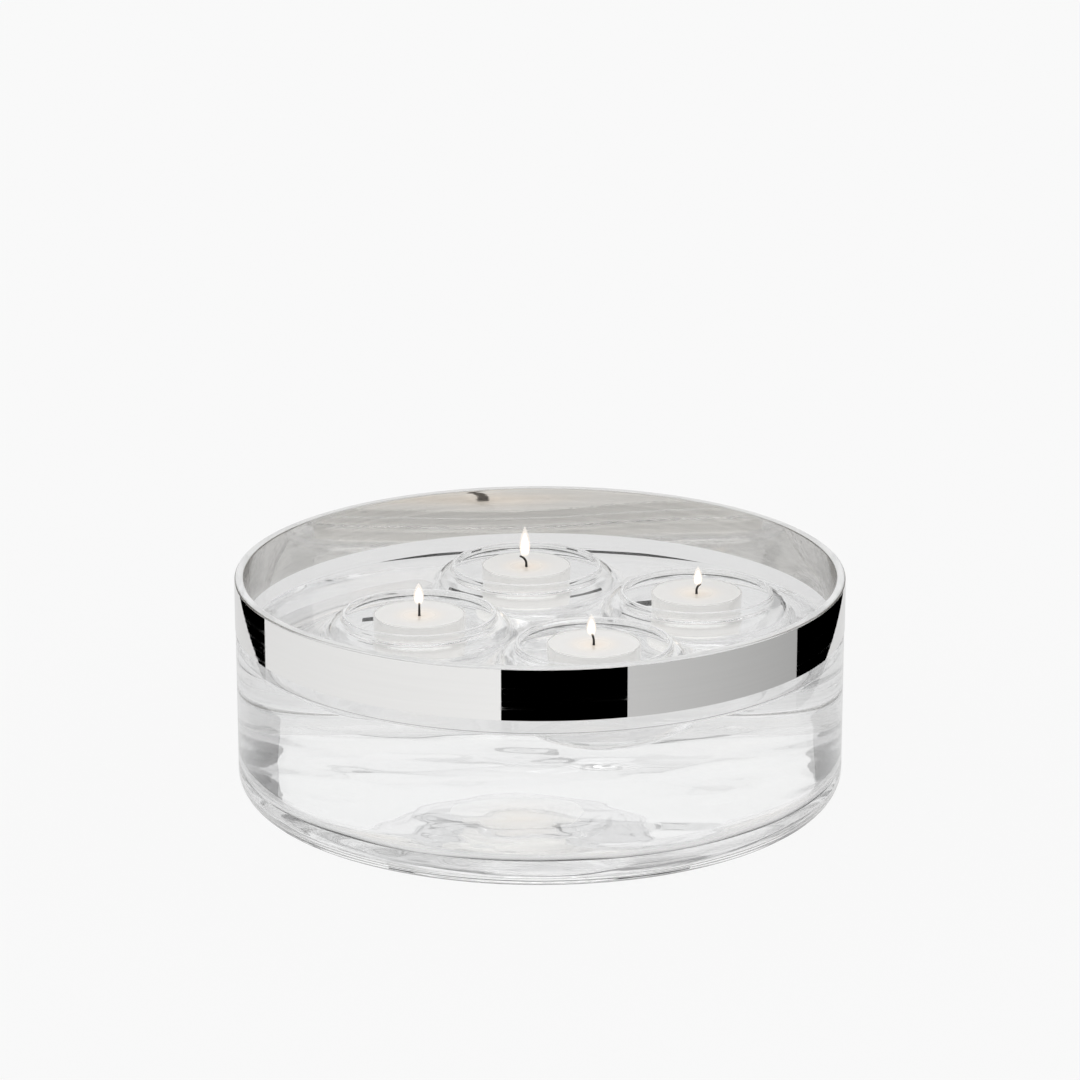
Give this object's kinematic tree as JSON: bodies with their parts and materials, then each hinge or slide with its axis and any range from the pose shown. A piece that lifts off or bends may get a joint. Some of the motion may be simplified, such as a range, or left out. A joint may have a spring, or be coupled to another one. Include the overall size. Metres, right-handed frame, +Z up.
{
  "type": "floating candle bowl",
  "caption": "Round clear glass bowl with a mirror band below its rim, filled with water that carries floating glass holders, each with a lit tealight.",
  "frame": {"origin": "middle of the bowl's foot, on the surface it stands on", "axes": "+Z up along the bowl's axis; -Y is the side the picture is taken from"},
  "size_m": [0.2504, 0.2504, 0.092],
  "materials": {
    "clear_glass": "clear, polished",
    "mirror_metal": "fired mirror coating",
    "water": "clear liquid",
    "float_glass": "clear, blown and fire polished",
    "clear_plastic": "clear, moulded",
    "white_wax": "translucent wax",
    "burnt_wick": "charred cotton",
    "tin": "tinned sheet"
  },
  "bodies": {
    "bowl": {"bowl": "clear_glass", "rim_band": "mirror_metal"},
    "water": {"water": "water"},
    "float_1": {"float_1": "float_glass"},
    "float_2": {"float_2": "float_glass"},
    "float_3": {"float_3": "float_glass"},
    "float_4": {"float_4": "float_glass"},
    "tealight_1": {"tealight_cup_1": "clear_plastic", "tealight_wax_1": "white_wax", "tealight_wick_1": "burnt_wick", "wick_holder_1": "tin"},
    "tealight_2": {"tealight_cup_2": "clear_plastic", "tealight_wax_2": "white_wax", "tealight_wick_2": "burnt_wick", "wick_holder_2": "tin"},
    "tealight_3": {"tealight_cup_3": "clear_plastic", "tealight_wax_3": "white_wax", "tealight_wick_3": "burnt_wick", "wick_holder_3": "tin"},
    "tealight_4": {"tealight_cup_4": "clear_plastic", "tealight_wax_4": "white_wax", "tealight_wick_4": "burnt_wick", "wick_holder_4": "tin"}
  },
  "joints": [
    {"name": "water_swirl", "type": "hinge", "parent": "bowl", "child": "water", "pos_m": [0, 0, 0.062], "axis": [0, 0, 1], "continuous": true},
    {"name": "float_1_lift", "type": "slide", "parent": "water", "child": "float_1", "axis": [0, 0, 1], "range_m": [0, 0.065], "deforming": ["water"]},
    {"name": "float_2_lift", "type": "slide", "parent": "water", "child": "float_2", "axis": [0, 0, 1], "range_m": [0, 0.065], "deforming": ["water"]},
    {"name": "float_3_lift", "type": "slide", "parent": "water", "child": "float_3", "axis": [0, 0, 1], "range_m": [0, 0.065], "deforming": ["water"]},
    {"name": "float_4_lift", "type": "slide", "parent": "water", "child": "float_4", "axis": [0, 0, 1], "range_m": [0, 0.065], "deforming": ["water"]},
    {"name": "tealight_1_lift", "type": "slide", "parent": "float_1", "child": "tealight_1", "axis": [0, 0, 1], "range_m": [0, 0.035]},
    {"name": "tealight_2_lift", "type": "slide", "parent": "float_2", "child": "tealight_2", "axis": [0, 0, 1], "range_m": [0, 0.035]},
    {"name": "tealight_3_lift", "type": "slide", "parent": "float_3", "child": "tealight_3", "axis": [0, 0, 1], "range_m": [0, 0.035]},
    {"name": "tealight_4_lift", "type": "slide", "parent": "float_4", "child": "tealight_4", "axis": [0, 0, 1], "range_m": [0, 0.035]}
  ]
}
